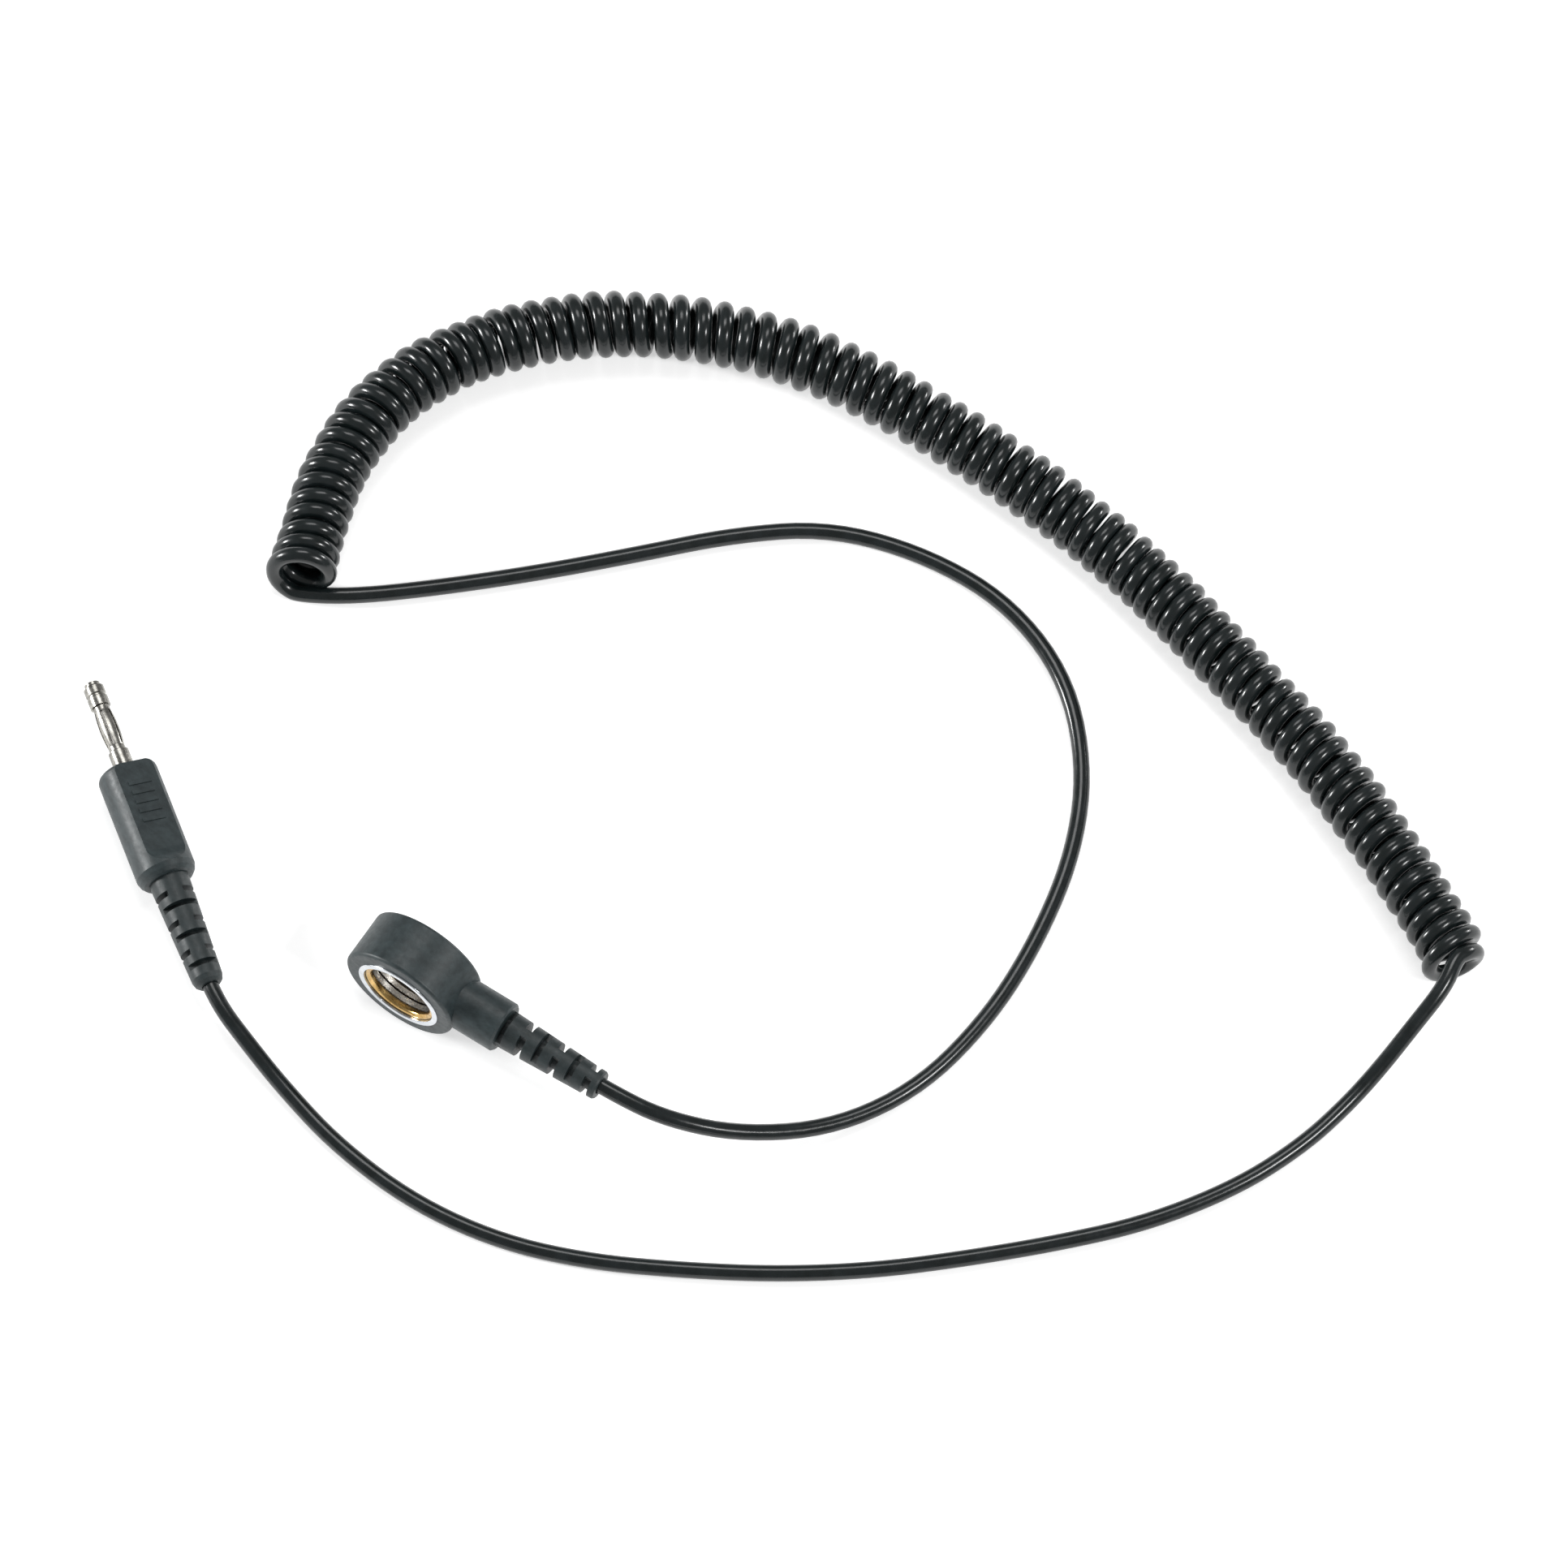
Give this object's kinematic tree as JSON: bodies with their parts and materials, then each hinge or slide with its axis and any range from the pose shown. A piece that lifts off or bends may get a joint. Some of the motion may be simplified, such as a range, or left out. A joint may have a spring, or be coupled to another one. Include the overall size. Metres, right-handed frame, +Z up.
{
  "type": "esd grounding coil cord",
  "caption": "Curly grounding cord with a round moulded snap socket on one end and a banana plug on the other, each with a slotted strain relief.",
  "frame": {"origin": "under the middle of the snap head, on the surface that the cord lies on", "axes": "+X from the drum along the neck and strain relief of the snap head, -Y out of the socket's mouth, +Z up"},
  "size_m": [0.2558, 0.1948, 0.0238],
  "materials": {
    "head_moulding": "satin dark grey moulding, fine texture",
    "cap_moulding": "satin dark grey",
    "nickel_cup": "turned nickel plate",
    "nickel_ring": "bright nickel plate",
    "gold_spring": "gold-coloured spring wire",
    "rivet_nickel": "nickel plate",
    "tinned_brass": "tinned",
    "resistor_ceramic": "lacquered resistor body",
    "tinned_wire": "tinned wire",
    "sleeve": "shrink sleeve",
    "crimp_brass": "crimped brass",
    "copper": "stranded copper",
    "clamp_plastic": "hard moulding",
    "snap_relief": "satin soft moulding",
    "cord_jacket": "glossy black jacket",
    "pin_rod": "plated brass",
    "pin_nickel": "bright nickel plate",
    "pin_leaves": "bright nickel plate on spring leaves",
    "shank_brass": "plain brass",
    "grip_moulding": "satin dark grey moulding, fine texture",
    "plug_relief": "satin soft moulding"
  },
  "bodies": {
    "cord_set": {"snap_housing": "head_moulding", "snap_rear_cap": "cap_moulding", "socket_cup": "nickel_cup", "socket_bezel": "nickel_ring", "socket_rivet": "rivet_nickel", "contact_tag": "tinned_brass", "resistor_body": "resistor_ceramic", "resistor_lead_front": "tinned_wire", "resistor_lead_rear": "tinned_wire", "resistor_sleeve": "sleeve", "snap_ferrule": "crimp_brass", "snap_core_wire": "copper", "snap_cord_clamp": "clamp_plastic", "snap_boot": "snap_relief", "cord_snap_lead": "cord_jacket", "cord_coil": "cord_jacket", "cord_plug_lead": "cord_jacket", "pin_core": "pin_rod", "pin_head": "pin_nickel", "pin_collar": "pin_nickel", "pin_shank": "shank_brass", "plug_grip": "grip_moulding", "plug_boot": "plug_relief", "plug_ferrule": "crimp_brass", "plug_core_wire": "copper", "plug_cord_clamp": "clamp_plastic"},
    "spring_ring": {"spring_ring": "gold_spring"},
    "leaf_cage": {"pin_spring_cage": "pin_leaves"}
  },
  "joints": [
    {"name": "spring_ring_turn", "type": "hinge", "parent": "cord_set", "child": "spring_ring", "pos_m": [-0.0152, -0.00438, 0.0119], "axis": [0, -1, 0], "continuous": true},
    {"name": "leaf_cage_turn", "type": "hinge", "parent": "cord_set", "child": "leaf_cage", "pos_m": [-0.09278, 0.01231, 0.00585], "axis": [-0.8039, 0.5948, 0], "continuous": true}
  ]
}
